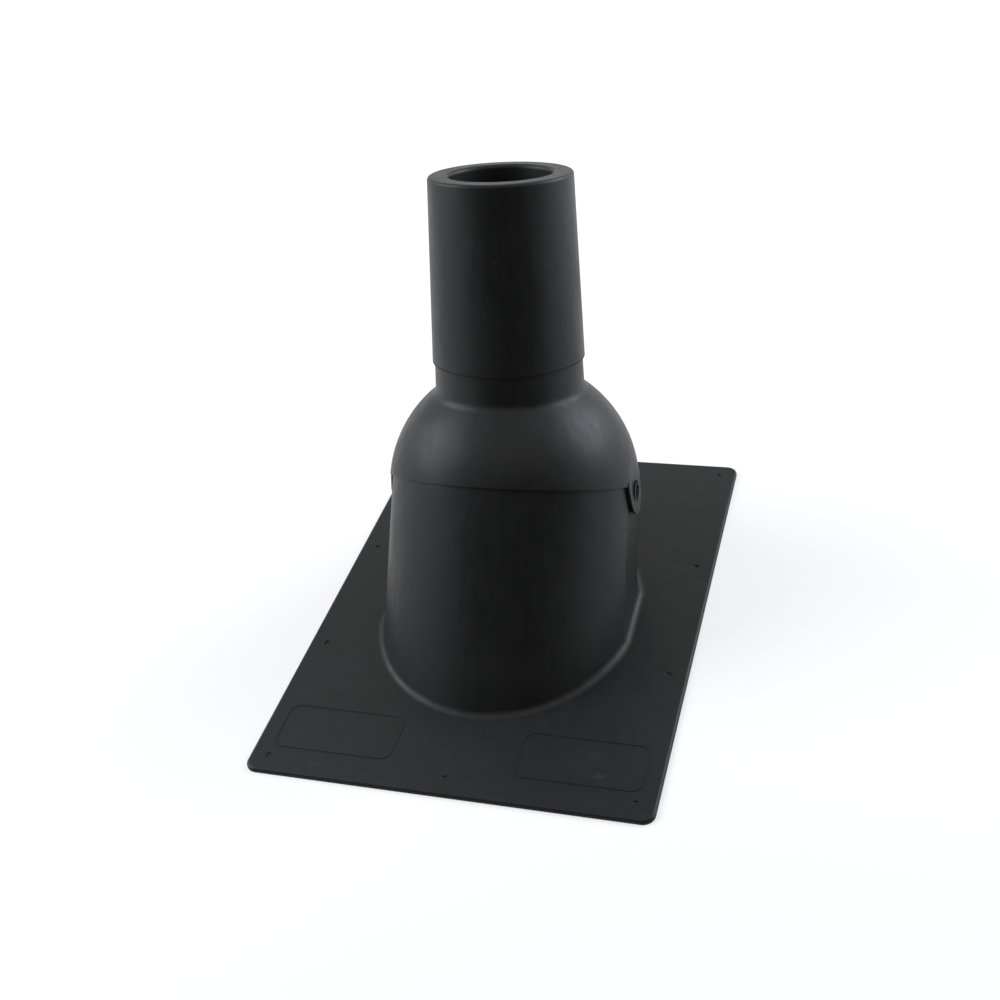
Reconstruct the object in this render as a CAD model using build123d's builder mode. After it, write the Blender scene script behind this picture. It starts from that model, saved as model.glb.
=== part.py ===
"""Adjustable pipe flashing boot for a three inch vent pipe on a pitched roof.

Three mouldings: a base plate with a leaning collar, a dome with a neck that
swivels on two pins at the collar's sides, and a loose sleeve over the neck
whose inner tube hangs in the end of the pipe.

Millimetres. X runs across the roof slope, +Y up the slope, +Z out of the
roof. The origin is the middle of the plate's underside.
"""

from build123d import *
from math import asin, cos, radians, sin, tan
import os

os.makedirs("parts", exist_ok=True)

# The pipe that the boot is made for
pipe_radius = 44.45  # outside of a three inch plastic vent pipe

# Plate
plate_width = 266.7
plate_length = 355.6
plate_thickness = 3.0
plate_corner = 8.0
plate_edge_round = 2.0

# Nail marks, sunk in the plate's top along its edges
mark_radius = 2.4
mark_depth = 0.7
mark_inset = 13.0
mark_taper = 40  # degrees in from upright
side_marks = 4
left_pitch = 106.2  # along the left side, from the front corner
right_pitch = 109.9

# Bare frames, two thin raised outlines in front of the collar
frame_width = 82.0
frame_depth = 38.0
frame_corner = 8.0
frame_line = 1.2
frame_height = 0.3
frame_side_inset = 11.0
frame_front_inset = 21.5

# Swivel axis, parallel to X
pivot_y = 36.5
pivot_z = 81.9

# Leans, in degrees from the plate's normal towards +Y
collar_lean = 28.8
neck_lean = 15.4
swing = 16.4  # of the neck, each way from the collar's lean

# Dome, a sphere about the middle of the swivel axis
dome_radius = 86.3
dome_wall = 1.6
swivel_gap = 0.35
rim_height = 4.3  # of the rim planes above the swivel axis, which rise to front and back by the swing
side_lean = 6.5  # of the flats on the dome's sides and of the ears, in towards the top
neck_fillet = 8.0

# Neck
neck_radius = 49.5  # outside, where the sleeve's lower rim stands
neck_draft = 1.9
neck_top = 142.0  # above the swivel axis
neck_wall = 2.4
guide_radius = 44.8  # bore of the guide ring that steadies the pipe
guide_length = 18.0

# Ears, which carry the dome's side flats on below its rim
ear_radius = 15.3
ear_thickness = 1.8
ear_gap = 0.8  # between the collar's flat and the ear, at the swivel axis
ear_root_half_width = 16.8
ear_root_height = 9.0
ear_root_corner = 3.0

# Pins, split snap tubes moulded on the collar's flats
pin_radius = 7.4
pin_clearance = 0.08
pin_bore = 4.6
pin_core = 2.0
pin_floor = 0.5  # of the hollow, above the collar's flat
pin_slot = 2.4
pin_slot_depth = 2.6
pin_reach = 0.9  # past the ear's outer face, at the swivel axis

# Collar
collar_draft = 2.64
collar_wall = 2.4
flat_offset = 83.2  # side flats, at the swivel axis
flat_draft = 1.66
foot_fillet = 5.5
throat_clearance = 2.0  # around the pipe, at either end of the swing

# Sleeve
sleeve_wall = 1.2
sleeve_gap = 0.25
sleeve_bottom = 91.4  # above the swivel axis
sleeve_length = 121.2
sleeve_top_wall = 2.4
sleeve_top_round = 2.2
tube_bore = 33.5
tube_wall = 2.0
tube_length = 45.0

# Sizes that follow from those above
dome_bore = dome_radius - dome_wall
collar_sphere = dome_bore - swivel_gap
collar_depth = 2 * (pivot_z + collar_sphere)
ear_inner = flat_offset + ear_gap
ear_outer = ear_inner + ear_thickness
neck_taper = tan(radians(neck_draft))
flat_taper = tan(radians(flat_draft))
side_taper = tan(radians(side_lean))
collar_taper = tan(radians(collar_draft))
sleeve_radius = neck_radius + sleeve_gap + sleeve_wall  # outside, at its lower rim
sleeve_top = sleeve_bottom + sleeve_length
throat_half_width = pipe_radius + throat_clearance
throat_half_length = collar_sphere * sin(asin(throat_half_width / collar_sphere) + radians(swing))
far = 2 * plate_length

# Planes: each lean has one across its axis and an upright one that holds its axis
pivot = (0, pivot_y, pivot_z)
collar_axis_way = (0, sin(radians(collar_lean)), cos(radians(collar_lean)))
neck_axis_way = (0, sin(radians(neck_lean)), cos(radians(neck_lean)))
collar_plane = Plane(pivot, x_dir=(1, 0, 0), z_dir=collar_axis_way)
neck_plane = Plane(pivot, x_dir=(1, 0, 0), z_dir=neck_axis_way)
collar_section = collar_plane.rotated((90, 0, 0))
neck_section = neck_plane.rotated((90, 0, 0))
ear_plane = Plane(pivot, x_dir=neck_plane.y_dir, z_dir=(1, 0, 0))
collar_axis = Axis(pivot, collar_axis_way)
neck_axis = Axis(pivot, neck_axis_way)


def collar_half_section(inset):
    """Half outline of the collar's round body: a drafted cone that runs into a sphere."""
    sphere = collar_sphere - inset
    height = sphere * sin(radians(collar_draft))
    width = sphere * cos(radians(collar_draft))
    foot = width + (collar_depth + height) * collar_taper
    with BuildSketch(collar_section) as section:
        with BuildLine():
            Polyline((0, sphere), (0, -collar_depth), (foot, -collar_depth), (width, height))
            CenterArc((0, 0), sphere, collar_draft, 90 - collar_draft)
        make_face()
    return section.sketch


def between_flats(plane, offset, taper):
    """Outline between two side flats: at offset on the swivel axis, leaning in up the plane's normal."""
    top = offset - collar_depth * taper
    foot = offset + collar_depth * taper
    with BuildSketch(plane.rotated((90, 0, 0))) as section:
        with BuildLine():
            Polyline(
                (-foot, -collar_depth),
                (foot, -collar_depth),
                (top, collar_depth),
                (-top, collar_depth),
                close=True,
            )
        make_face()
    return section.sketch


def collar_body(inset):
    """The collar with its walls moved in by inset: round, with drafted flats at its sides.

    Above the swivel axis the sides lean in clear of the dome's flats all the way through its swing.
    """
    offset = flat_offset - inset
    with BuildPart() as body:
        revolve(collar_half_section(inset), axis=collar_axis)
        extrude(between_flats(collar_plane, offset, flat_taper), amount=far, both=True, mode=Mode.INTERSECT)
        for turn in (-swing, 0, swing):
            turned = collar_plane.rotated((turn, 0, 0))
            extrude(between_flats(turned, offset, side_taper), amount=far, both=True, mode=Mode.INTERSECT)
    return body.part


# Collar: its outside as one solid, and the hollow in it
with BuildPart() as collar_outside:
    add(collar_body(0))
    split(bisect_by=Plane.XY, keep=Keep.TOP)
collar_hollow = collar_body(collar_wall)

# Pin: a tube with a core, split by a slot across its end
pin_root = flat_offset - collar_wall / 2
pin_end = ear_outer + pin_reach
pin_hollow = pin_end - flat_offset - pin_floor
with BuildPart() as pin:
    with BuildSketch(ear_plane.offset(pin_root)):
        Circle(pin_radius)
    extrude(amount=pin_end - pin_root)
    with BuildSketch(ear_plane.offset(pin_end)):
        Circle(pin_bore)
        Circle(pin_core, mode=Mode.SUBTRACT)
    extrude(amount=-pin_hollow, mode=Mode.SUBTRACT)
    with BuildSketch(ear_plane.offset(pin_end)):
        Rectangle(pin_slot, 3 * pin_radius)
    extrude(amount=-pin_slot_depth, mode=Mode.SUBTRACT)

# Base: plate, collar and pins in one moulding
mark_x = plate_width / 2 - mark_inset
mark_y = plate_length / 2 - mark_inset
frame_x = (plate_width - frame_width) / 2 - frame_side_inset
frame_y = (frame_depth - plate_length) / 2 + frame_front_inset
with BuildPart() as base:
    with BuildSketch():
        RectangleRounded(plate_width, plate_length, plate_corner)
    extrude(amount=plate_thickness)
    fillet(base.edges().group_by(Axis.Z)[-1], radius=plate_edge_round)
    add(collar_outside.part)
    above_plate = base.edges(Select.NEW).filter_by_position(Axis.Z, plate_thickness / 2, far)
    fillet(above_plate.group_by(Axis.Z)[0], radius=foot_fillet)
    add(collar_hollow, mode=Mode.SUBTRACT)
    with BuildSketch(collar_plane):
        SlotOverall(2 * throat_half_length, 2 * throat_half_width, rotation=90)
    extrude(amount=collar_sphere, mode=Mode.SUBTRACT)
    add(pin.part)
    mirror(pin.part, about=Plane.YZ)
    with BuildSketch(Plane.XY.offset(plate_thickness)):
        for side, pitch in ((-mark_x, left_pitch), (mark_x, right_pitch)):
            with Locations([(side, row * pitch - mark_y) for row in range(side_marks)]):
                Circle(mark_radius)
        with GridLocations(0, 2 * mark_y, 1, 2):
            Circle(mark_radius)
    extrude(amount=-mark_depth, taper=mark_taper, mode=Mode.SUBTRACT)
    with BuildSketch(Plane.XY.offset(plate_thickness)):
        with Locations((-frame_x, frame_y), (frame_x, frame_y)):
            RectangleRounded(frame_width, frame_depth, frame_corner)
            RectangleRounded(
                frame_width - 2 * frame_line,
                frame_depth - 2 * frame_line,
                frame_corner - frame_line,
                mode=Mode.SUBTRACT,
            )
    extrude(amount=frame_height)
base.part.label = "base"
export_step(base.part, "parts/base.step")


# Swivelling dome with its neck and its two ears
neck_base_radius = neck_radius + sleeve_bottom * neck_taper  # at the height of the swivel axis
guide_bottom = neck_top - guide_length


def neck_half_section(inset, sphere, top):
    """Half outline of the dome and its tapered neck, with their walls moved in by inset."""
    foot = neck_base_radius - inset
    with BuildSketch(neck_section) as section:
        with BuildLine():
            Polyline((0, 0), (foot, 0), (foot - top * neck_taper, top), (0, top), close=True)
        make_face()
        with BuildLine():
            CenterArc((0, 0), sphere, -90, 180)
            Line((0, sphere), (0, -sphere))
        make_face()
    return section.sketch


# Ear: a tongue with a round end, in the plane of the dome's side flat
with BuildPart() as ear:
    root_x = ear_root_half_width - ear_root_corner
    with BuildSketch(ear_plane):
        Circle(ear_radius)
        with Locations((-root_x, ear_root_height), (root_x, ear_root_height)):
            Circle(ear_root_corner)
        make_hull()
    extrude(amount=far)
    extrude(between_flats(neck_plane, ear_outer, side_taper), amount=far, both=True, mode=Mode.INTERSECT)
    extrude(between_flats(neck_plane, ear_inner, side_taper), amount=far, both=True, mode=Mode.SUBTRACT)

with BuildPart() as dome_hollow:
    revolve(neck_half_section(neck_wall, dome_bore, guide_bottom), axis=neck_axis)
    extrude(between_flats(neck_plane, ear_inner, side_taper), amount=far, both=True, mode=Mode.INTERSECT)
    with BuildSketch(neck_plane):
        Circle(guide_radius)
    extrude(amount=far)

with BuildPart() as swivel_dome:
    revolve(neck_half_section(0, dome_radius, neck_top), axis=neck_axis)
    neck_foot = swivel_dome.edges().filter_by(GeomType.CIRCLE).group_by(neck_axis)[-2]
    fillet(neck_foot, radius=neck_fillet)
    extrude(between_flats(neck_plane, ear_outer, side_taper), amount=far, both=True, mode=Mode.INTERSECT)
    for turn in (-swing, swing):
        split(bisect_by=neck_plane.rotated((turn, 0, 0)).offset(rim_height), keep=Keep.TOP)
    add(ear.part)
    mirror(ear.part, about=Plane.YZ)
    add(dome_hollow.part, mode=Mode.SUBTRACT)
    with BuildSketch(ear_plane):
        Circle(pin_radius + pin_clearance)
    extrude(amount=far, both=True, mode=Mode.SUBTRACT)
swivel_dome.part.label = "swivel_dome"
export_step(swivel_dome.part, "parts/swivel_dome.step")


# Sleeve: outer wall, ring on top, and an inner tube that hangs in the pipe
sleeve_top_radius = sleeve_radius - sleeve_length * neck_taper
with BuildPart() as pipe_sleeve:
    with BuildSketch(neck_section):
        with BuildLine():
            outline = Polyline(
                (sleeve_radius, sleeve_bottom),
                (sleeve_top_radius, sleeve_top),
                (tube_bore, sleeve_top),
                (tube_bore, sleeve_top - tube_length),
                (tube_bore + tube_wall, sleeve_top - tube_length),
                (tube_bore + tube_wall, sleeve_top - sleeve_top_wall),
                (sleeve_top_radius - sleeve_wall, sleeve_top - sleeve_top_wall),
                (sleeve_radius - sleeve_wall, sleeve_bottom),
                close=True,
            )
        make_face()
        fillet(outline.vertices()[1], radius=sleeve_top_round)
    revolve(axis=neck_axis)
pipe_sleeve.part.label = "pipe_sleeve"
export_step(pipe_sleeve.part, "parts/pipe_sleeve.step")
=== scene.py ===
"""Pipe flashing boot: the skin of its mouldings, its sleeve's rounded lip, studio light and camera."""

import math

import bmesh
import bpy
from mathutils import Euler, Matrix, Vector


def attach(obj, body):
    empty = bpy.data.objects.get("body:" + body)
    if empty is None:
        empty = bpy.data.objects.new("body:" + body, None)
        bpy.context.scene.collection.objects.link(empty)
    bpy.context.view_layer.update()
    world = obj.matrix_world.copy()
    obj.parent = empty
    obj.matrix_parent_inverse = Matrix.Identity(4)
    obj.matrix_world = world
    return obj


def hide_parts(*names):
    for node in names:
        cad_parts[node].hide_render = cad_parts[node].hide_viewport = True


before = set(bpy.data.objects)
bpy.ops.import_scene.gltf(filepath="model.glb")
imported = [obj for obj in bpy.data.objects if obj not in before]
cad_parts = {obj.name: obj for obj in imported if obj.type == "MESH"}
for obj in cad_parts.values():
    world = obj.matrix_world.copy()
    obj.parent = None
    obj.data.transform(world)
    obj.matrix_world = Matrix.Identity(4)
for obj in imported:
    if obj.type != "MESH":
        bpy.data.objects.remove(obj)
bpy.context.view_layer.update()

MM = 0.001

# Camera, as fitted to the outlines in the photograph: its place is in metres and its lens in mm
CAMERA_PLACE = (0.26747, -0.69800, 0.65046)
CAMERA_TURN = (53.040, 7.013, 15.623)  # degrees about X, Y and Z
CAMERA_LENS = 50.084

# Lean of the neck and the collar from upright, in degrees towards +Y
NECK_LEAN = 15.4
COLLAR_LEAN = 28.8
NECK_UP = Vector((0, math.sin(math.radians(NECK_LEAN)), math.cos(math.radians(NECK_LEAN))))

# Sleeve, in mm: its heights are up the neck's axis from the swivel
SWIVEL = Vector((0, 36.5, 81.9))
SLEEVE_BOTTOM, SLEEVE_TOP = 91.4, 212.6
SLEEVE_BOTTOM_RADIUS, SLEEVE_TOP_RADIUS = 50.95, 46.93
SLEEVE_WALL, RING_WALL = 1.2, 2.4
TUBE_BORE, TUBE_WALL, TUBE_LENGTH = 33.5, 2.0, 45.0
RIM_ROUND, LIP_ROUND = 2.2, 2.6
ROUND_STEPS, TURN_STEPS = 8, 160
FLAT_EDGE = 0.3  # ring of faces beside a rounding, which keeps the shading of the long walls straight
SHARP_ANGLE = 30  # degrees between faces, from which an edge shows as one

# Light: two large softboxes a little behind the part at its sides, and a black flag in front,
# which give a black moulding its bright edges and its dark middle. In metres and watts
AIM = (0, 0.02, 0.12)
LEFT_PLACE, LEFT_SIZE, LEFT_POWER = (-1.117, -0.078, 0.82), (0.9, 0.8), 16
RIGHT_PLACE, RIGHT_SIZE, RIGHT_POWER = (0.961, 0.723, 0.65), (0.9, 0.8), 16
LAMP_COLOUR = "#ebf2ff"
FILL = 0.4  # strength of the even light from all round

# Black flag, in metres and degrees: where it starts on the floor, where it rises, and how wide it is
FLAG_START, FLAG_RADIUS, FLAG_HEIGHT, FLAG_ARC = 0.45, 1.3, 1.3, 110
FLAG_LIFT = 0.002  # just clear of the floor
FLAG_STEPS = 24
FLAG_COLOUR = "#050505"

# Floor, in metres. Its glow takes it to white, and rises with distance from the part
FLOOR_REACH = 6
FLOOR_COLOUR = "#bdbdbd"
GLOW_NEAR, GLOW_FAR = 0.5, 0.85
GLOW_FROM, GLOW_TO = 0.4, 1.8

# Skin of the plastic. Widths, lengths and heights are in mm
BODY_DARK, BODY_LIGHT = "#161616", "#202020"
PLASTIC_IOR = 1.49
GLOSS = 0.2
SATIN = (0.36, 0.52)  # roughness where the skin is cleanest and dullest
MOTTLE = (0.3, 0.7)  # the noise at which it is cleanest and dullest
STREAK_WIDTH, STREAK_STRETCH = 4, 15
STREAK_NOISE = {"Detail": 3.0, "Roughness": 0.5}
SMEAR_WIDTH, SMEAR_SHARE = 35, 0.55
SMEAR_NOISE = {"Detail": 5.0, "Roughness": 0.62, "Distortion": 0.8}
WAVE_LENGTH, WAVE_HEIGHT = 16, 0.4
WAVE_NOISE = {"Detail": 1.0}
GRAIN_WIDTH, GRAIN_HEIGHT = 0.8, 0.03  # drawn coarser than the real grain, so that it shows
GRAIN_NOISE = {"Detail": 2.0, "Roughness": 0.6}

# Flecks: their width and length in mm and their strength, for each moulding
FLECK_COLOUR = "#58585a"
SLEEVE_FLECK, DOME_FLECK, PLATE_FLECK = (1.8, 1.8, 0.3), (4, 6, 0.12), (4, 14, 0.14)
FLECK_NOISE = {"Detail": 2.0, "Roughness": 0.7, "Distortion": 1.5}
FLECK_TOPS = (0.55, 0.75)  # the noise from which a fleck starts to show, and shows in full

# Painted shade: a darker, duller band at the sleeve's foot that stands in for the shadow under its
# rim, with its width in mm
SHADED_FOOT_WIDTH, SHADED_FOOT_COLOUR, SHADED_FOOT_ROUGHNESS = 1.1, "#0c0c0c", 0.65
SHADED_FOOT_FULL = 0.8  # share of its width before it fades

# Scuffs that the photograph shows: x, y, z and reach in mm
SCUFF_FULL = 0.3  # share of a scuff's reach before it fades
SLEEVE_SCUFFS = [(-4, 38, 265, 9), (5, 35, 253, 11), (1, 27, 225, 12), (38, 52, 246, 9)]
DOME_SCUFFS = [(-35, 5, 132, 24), (41, 25, 137, 18)]
PLATE_SCUFFS = [(-104, -99, 3, 26), (88, -144, 3, 22), (113, -114, 3, 18), (-98, -166, 3, 20)]


def linear(colour):
    """Linear red, green and blue of an sRGB hex colour, and an alpha of 1."""
    parts = [int(colour[i : i + 2], 16) / 255 for i in (1, 3, 5)]
    return [p / 12.92 if p <= 0.04045 else ((p + 0.055) / 1.055) ** 2.4 for p in parts] + [1.0]


def add_node(tree, kind, settings, inputs):
    """A new node with its properties and sockets set, and linked where a socket is given an output."""
    node = tree.nodes.new(kind)
    for name, value in settings.items():
        setattr(node, name, value)
    for socket, value in inputs.items():
        if isinstance(value, bpy.types.NodeSocket):
            tree.links.new(value, node.inputs[socket])
        else:
            node.inputs[socket].default_value = value
    return node


def new_material(name):
    material = bpy.data.materials.new(name)
    material.use_nodes = True
    material.node_tree.nodes.clear()
    return material, material.node_tree


def moulded_polypropylene(name, lean, scuffs, fleck, foot_shade_from=None):
    """Injection moulded black polypropylene.

    Carbon black in a waxy plastic: a near-black body with a satin skin that goes bright only
    where it is seen at a slant or turned to a lamp. The mould's draw leaves faint streaks up
    the walls, which lean towards +Y by lean degrees, and cooling leaves the skin slightly wavy.
    Each scuff is a patch of pale flecks. A band at the foot, from a height given in metres up the
    leaning axis, is painted darker as shade under the rim, and is duller than the skin.
    """
    material, tree = new_material(name)
    place = add_node(tree, "ShaderNodeTexCoord", {}, {}).outputs["Object"]
    upright = add_node(
        tree, "ShaderNodeMapping", {}, {"Vector": place, "Rotation": (math.radians(lean), 0, 0)}
    ).outputs["Vector"]
    drawn = add_node(
        tree, "ShaderNodeMapping", {}, {"Vector": upright, "Scale": (1, 1, 1 / STREAK_STRETCH)}
    ).outputs["Vector"]
    streaks = add_node(
        tree, "ShaderNodeTexNoise", {},
        {"Vector": drawn, "Scale": 1 / (STREAK_WIDTH * MM), **STREAK_NOISE},
    ).outputs["Fac"]
    smears = add_node(
        tree, "ShaderNodeTexNoise", {},
        {"Vector": place, "Scale": 1 / (SMEAR_WIDTH * MM), **SMEAR_NOISE},
    ).outputs["Fac"]
    mottle = add_node(
        tree, "ShaderNodeMix", {"data_type": "FLOAT"},
        {"Factor": SMEAR_SHARE, "A": streaks, "B": smears},
    ).outputs["Result"]
    dulling = add_node(
        tree, "ShaderNodeMapRange", {},
        {"Value": mottle, "From Min": MOTTLE[0], "From Max": MOTTLE[1],
         "To Min": SATIN[0], "To Max": SATIN[1]},
    ).outputs["Result"]

    # Skin: slow waves of cooling, and the mould's grain over them
    waves = add_node(
        tree, "ShaderNodeTexNoise", {},
        {"Vector": place, "Scale": 1 / (WAVE_LENGTH * MM), **WAVE_NOISE},
    ).outputs["Fac"]
    wavy = add_node(tree, "ShaderNodeBump", {}, {"Height": waves, "Distance": WAVE_HEIGHT * MM})
    grain = add_node(
        tree, "ShaderNodeTexNoise", {},
        {"Vector": place, "Scale": 1 / (GRAIN_WIDTH * MM), **GRAIN_NOISE},
    ).outputs["Fac"]
    skin = add_node(
        tree, "ShaderNodeBump", {},
        {"Height": grain, "Distance": GRAIN_HEIGHT * MM, "Normal": wavy.outputs["Normal"]},
    ).outputs["Normal"]

    # Scuffed places, and the flecks in them
    scuffed = 0.0
    for x, y, z, reach in scuffs:
        away = add_node(
            tree, "ShaderNodeVectorMath", {"operation": "DISTANCE"},
            {0: place, 1: (x * MM, y * MM, z * MM)},
        ).outputs["Value"]
        nearness = add_node(
            tree, "ShaderNodeMapRange", {"interpolation_type": "SMOOTHSTEP"},
            {"Value": away, "From Min": SCUFF_FULL * reach * MM, "From Max": reach * MM,
             "To Min": 1.0, "To Max": 0.0},
        ).outputs["Result"]
        scuffed = add_node(
            tree, "ShaderNodeMath", {"operation": "MAXIMUM"}, {0: scuffed, 1: nearness}
        ).outputs["Value"]
    width, length, strength = fleck
    stretched = add_node(
        tree, "ShaderNodeMapping", {}, {"Vector": place, "Scale": (width / length, 1, 1)}
    ).outputs["Vector"]
    specks = add_node(
        tree, "ShaderNodeTexNoise", {},
        {"Vector": stretched, "Scale": 1 / (width * MM), **FLECK_NOISE},
    ).outputs["Fac"]
    tops = add_node(
        tree, "ShaderNodeMapRange", {},
        {"Value": specks, "From Min": FLECK_TOPS[0], "From Max": FLECK_TOPS[1],
         "To Min": 0.0, "To Max": strength},
    ).outputs["Result"]
    flecks = add_node(
        tree, "ShaderNodeMath", {"operation": "MULTIPLY"}, {0: tops, 1: scuffed}
    ).outputs["Value"]

    body = add_node(
        tree, "ShaderNodeMix", {"data_type": "RGBA"},
        {"Factor": mottle, "A": linear(BODY_DARK), "B": linear(BODY_LIGHT)},
    ).outputs["Result"]
    colour = add_node(
        tree, "ShaderNodeMix", {"data_type": "RGBA"},
        {"Factor": flecks, "A": body, "B": linear(FLECK_COLOUR)},
    ).outputs["Result"]
    roughness = dulling
    # Painted shade at the sleeve's foot: a darker band that stands in for the shadow under its rim,
    # with a rougher skin there
    if foot_shade_from is not None:
        height = add_node(tree, "ShaderNodeSeparateXYZ", {}, {"Vector": upright}).outputs["Z"]
        edge = add_node(
            tree, "ShaderNodeMapRange", {},
            {"Value": height, "From Min": foot_shade_from + SHADED_FOOT_FULL * SHADED_FOOT_WIDTH * MM,
             "From Max": foot_shade_from + SHADED_FOOT_WIDTH * MM, "To Min": 1.0, "To Max": 0.0},
        ).outputs["Result"]
        colour = add_node(
            tree, "ShaderNodeMix", {"data_type": "RGBA"},
            {"Factor": edge, "A": colour, "B": linear(SHADED_FOOT_COLOUR)},
        ).outputs["Result"]
        roughness = add_node(
            tree, "ShaderNodeMix", {"data_type": "FLOAT"},
            {"Factor": edge, "A": dulling, "B": SHADED_FOOT_ROUGHNESS},
        ).outputs["Result"]
    surface = add_node(
        tree, "ShaderNodeBsdfPrincipled", {},
        {"Base Color": colour, "Roughness": roughness, "Normal": skin,
         "IOR": PLASTIC_IOR, "Specular IOR Level": GLOSS},
    ).outputs["BSDF"]
    add_node(tree, "ShaderNodeOutputMaterial", {}, {"Surface": surface})
    return material


def new_piece(name, shape, material):
    mesh = bpy.data.meshes.new(name)
    shape.to_mesh(mesh)
    shape.free()
    mesh.materials.append(material)
    piece = bpy.data.objects.new(name, mesh)
    bpy.context.collection.objects.link(piece)
    return piece


def rounded_sleeve(material):
    """The sleeve of the solids, with the lip of its bore rounded as the photograph shows it."""
    wall_slope = (SLEEVE_BOTTOM_RADIUS - SLEEVE_TOP_RADIUS) / (SLEEVE_TOP - SLEEVE_BOTTOM)
    # How far from its corner each rounding starts: on the square lip, by its radius
    rim_reach = RIM_ROUND * math.tan((math.pi / 2 - math.atan(wall_slope)) / 2)
    lip_reach = LIP_ROUND
    below_rim = rim_reach + FLAT_EDGE
    below_lip = lip_reach + FLAT_EDGE
    ring_underside = SLEEVE_TOP - RING_WALL
    tube_foot = SLEEVE_TOP - TUBE_LENGTH
    rim, lip = (SLEEVE_TOP_RADIUS, SLEEVE_TOP), (TUBE_BORE, SLEEVE_TOP)
    profile = [
        (SLEEVE_BOTTOM_RADIUS, SLEEVE_BOTTOM),
        (SLEEVE_TOP_RADIUS + below_rim * wall_slope, SLEEVE_TOP - below_rim),
        rim,
        (SLEEVE_TOP_RADIUS - below_rim, SLEEVE_TOP),
        (TUBE_BORE + below_lip, SLEEVE_TOP),
        lip,
        (TUBE_BORE, SLEEVE_TOP - below_lip),
        (TUBE_BORE, tube_foot),
        (TUBE_BORE + TUBE_WALL, tube_foot),
        (TUBE_BORE + TUBE_WALL, ring_underside),
        (SLEEVE_TOP_RADIUS - SLEEVE_WALL, ring_underside),
        (SLEEVE_BOTTOM_RADIUS - SLEEVE_WALL, SLEEVE_BOTTOM),
    ]
    shape = bmesh.new()
    corners = [
        shape.verts.new((SWIVEL + Vector((radius, 0, 0)) + NECK_UP * height) * MM)
        for radius, height in profile
    ]
    for pair in zip(corners, corners[1:] + corners[:1]):
        shape.edges.new(pair)
    for corner, reach in ((rim, rim_reach), (lip, lip_reach)):
        bmesh.ops.bevel(shape, geom=[corners[profile.index(corner)]], affect="VERTICES",
                        offset=reach * MM, segments=ROUND_STEPS, profile=0.5, material=-1)
    bmesh.ops.spin(shape, geom=shape.verts[:] + shape.edges[:], cent=SWIVEL * MM, axis=NECK_UP,
                   angle=math.tau, steps=TURN_STEPS, use_merge=True)
    bmesh.ops.recalc_face_normals(shape, faces=shape.faces)
    for face in shape.faces:
        face.smooth = True
    for edge in shape.edges:
        edge.smooth = edge.calc_face_angle() < math.radians(SHARP_ANGLE)
    sleeve = new_piece("rounded_sleeve", shape, material)
    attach(sleeve, "sleeve_body")
    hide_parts("pipe_sleeve")


def sees_background(tree):
    """1 for rays from the camera, from reflections and through glass, else 0."""
    path = add_node(tree, "ShaderNodeLightPath", {}, {})
    seen = path.outputs["Is Camera Ray"]
    for ray in ("Is Glossy Ray", "Is Transmission Ray"):
        seen = add_node(
            tree, "ShaderNodeMath", {"operation": "MAXIMUM"}, {0: seen, 1: path.outputs[ray]}
        ).outputs["Value"]
    return seen


def white_floor():
    """Pale matt paper that glows, so that it shows white and still keeps the part's soft shadow."""
    material, tree = new_material("pale_matt_paper")
    paper = add_node(
        tree, "ShaderNodeBsdfDiffuse", {}, {"Color": linear(FLOOR_COLOUR)}
    ).outputs["BSDF"]
    place = add_node(tree, "ShaderNodeTexCoord", {}, {}).outputs["Object"]
    away = add_node(
        tree, "ShaderNodeVectorMath", {"operation": "LENGTH"}, {0: place}
    ).outputs["Value"]
    level = add_node(
        tree, "ShaderNodeMapRange", {},
        {"Value": away, "From Min": GLOW_FROM, "From Max": GLOW_TO,
         "To Min": GLOW_NEAR, "To Max": GLOW_FAR},
    ).outputs["Result"]
    strength = add_node(
        tree, "ShaderNodeMath", {"operation": "MULTIPLY"}, {0: sees_background(tree), 1: level}
    ).outputs["Value"]
    glow = add_node(tree, "ShaderNodeEmission", {}, {"Strength": strength}).outputs["Emission"]
    both = add_node(tree, "ShaderNodeAddShader", {}, {0: paper, 1: glow}).outputs["Shader"]
    add_node(tree, "ShaderNodeOutputMaterial", {}, {"Surface": both})
    shape = bmesh.new()
    bmesh.ops.create_grid(shape, x_segments=1, y_segments=1, size=FLOOR_REACH)
    new_piece("floor", shape, material)


def black_flag():
    """Black velvet in front, on the floor and upright, which only the part's shine shows."""
    material, tree = new_material("black_velvet")
    cloth = add_node(tree, "ShaderNodeBsdfDiffuse", {}, {"Color": linear(FLAG_COLOUR)})
    add_node(tree, "ShaderNodeOutputMaterial", {}, {"Surface": cloth.outputs["BSDF"]})
    shape = bmesh.new()
    profile = [(FLAG_START, FLAG_LIFT), (FLAG_RADIUS, FLAG_LIFT), (FLAG_RADIUS, FLAG_HEIGHT)]
    start = math.atan2(CAMERA_PLACE[1], CAMERA_PLACE[0]) - math.radians(FLAG_ARC / 2)
    points = [shape.verts.new((r * math.cos(start), r * math.sin(start), z)) for r, z in profile]
    edges = [shape.edges.new(pair) for pair in zip(points, points[1:])]
    bmesh.ops.spin(shape, geom=points + edges, cent=(0, 0, 0), axis=(0, 0, 1),
                   angle=math.radians(FLAG_ARC), steps=FLAG_STEPS)
    flag = new_piece("flag", shape, material)
    flag.visible_camera = False
    flag.visible_shadow = False
    flag.visible_diffuse = False


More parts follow.
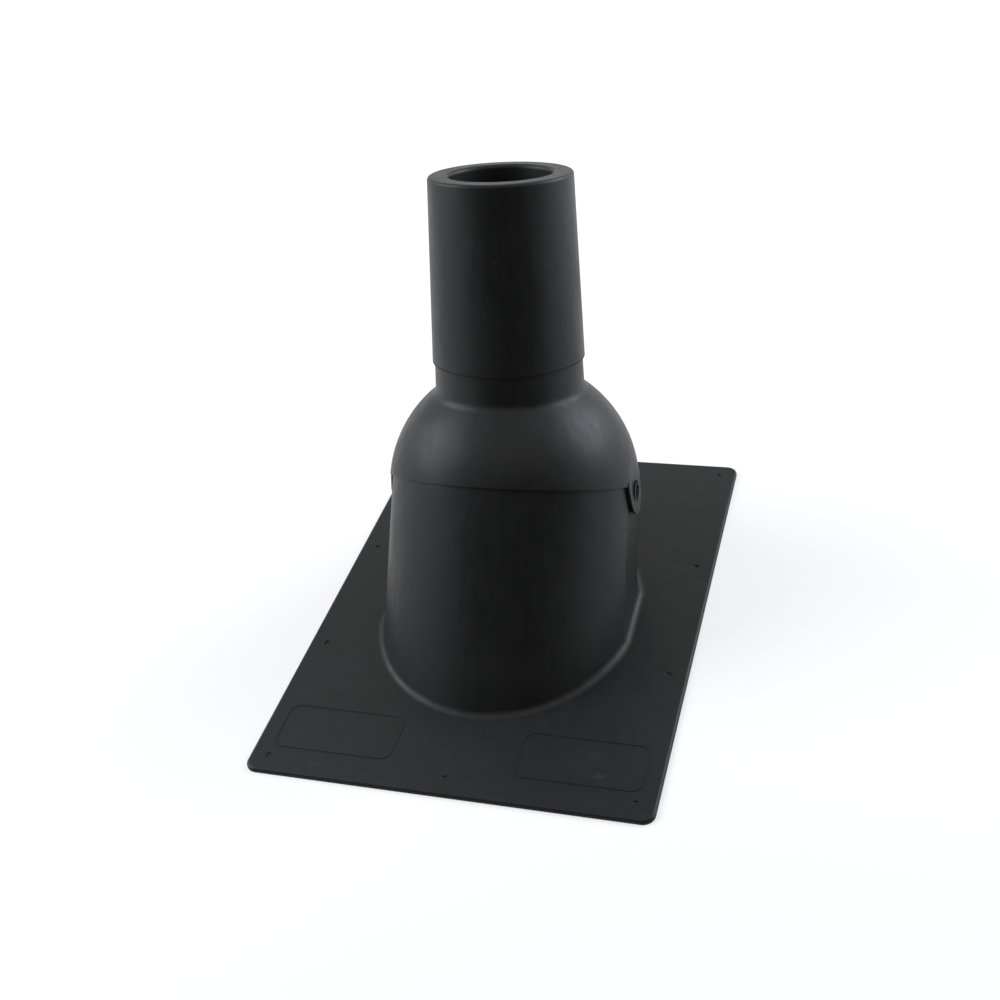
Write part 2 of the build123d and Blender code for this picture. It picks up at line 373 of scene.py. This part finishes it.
def white_world():
    """White where it is seen, and a dim even light on the part."""
    world = bpy.data.worlds.new("studio")
    world.use_nodes = True
    tree = world.node_tree
    tree.nodes.clear()
    strength = add_node(
        tree, "ShaderNodeMapRange", {}, {"Value": sees_background(tree), "To Min": FILL, "To Max": 1.0}
    ).outputs["Result"]
    background = add_node(
        tree, "ShaderNodeBackground", {}, {"Color": linear("#ffffff"), "Strength": strength}
    ).outputs["Background"]
    add_node(tree, "ShaderNodeOutputWorld", {}, {"Surface": background})
    bpy.context.scene.world = world


def softbox(name, place, size, power):
    """A rectangular lamp at place that faces the part."""
    lamp = bpy.data.lights.new(name, "AREA")
    lamp.shape = "RECTANGLE"
    lamp.size, lamp.size_y = size
    lamp.energy = power
    lamp.color = linear(LAMP_COLOUR)[:3]
    box = bpy.data.objects.new(name, lamp)
    bpy.context.collection.objects.link(box)
    box.location = place
    box.rotation_euler = (Vector(AIM) - Vector(place)).to_track_quat("-Z", "Y").to_euler()


def photo_camera():
    data = bpy.data.cameras.new("camera")
    data.lens = CAMERA_LENS
    camera = bpy.data.objects.new("camera", data)
    camera.location = CAMERA_PLACE
    camera.rotation_euler = Euler([math.radians(a) for a in CAMERA_TURN])
    bpy.context.collection.objects.link(camera)
    bpy.context.scene.camera = camera


base_skin = moulded_polypropylene(
    "moulded_polypropylene_base", COLLAR_LEAN, PLATE_SCUFFS, PLATE_FLECK
)
dome_skin = moulded_polypropylene("moulded_polypropylene_dome", NECK_LEAN, DOME_SCUFFS, DOME_FLECK)
sleeve_skin = moulded_polypropylene(
    "moulded_polypropylene_sleeve", NECK_LEAN, SLEEVE_SCUFFS, SLEEVE_FLECK,
    foot_shade_from=(NECK_UP.dot(SWIVEL) + SLEEVE_BOTTOM) * MM,
)
for node, skin in (("base", base_skin), ("swivel_dome", dome_skin)):
    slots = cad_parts[node].data.materials
    slots.clear()
    slots.append(skin)
rounded_sleeve(sleeve_skin)

white_floor()
black_flag()
white_world()
softbox("left_softbox", LEFT_PLACE, LEFT_SIZE, LEFT_POWER)
softbox("right_softbox", RIGHT_PLACE, RIGHT_SIZE, RIGHT_POWER)
photo_camera()
bpy.context.scene.view_settings.view_transform = "Standard"
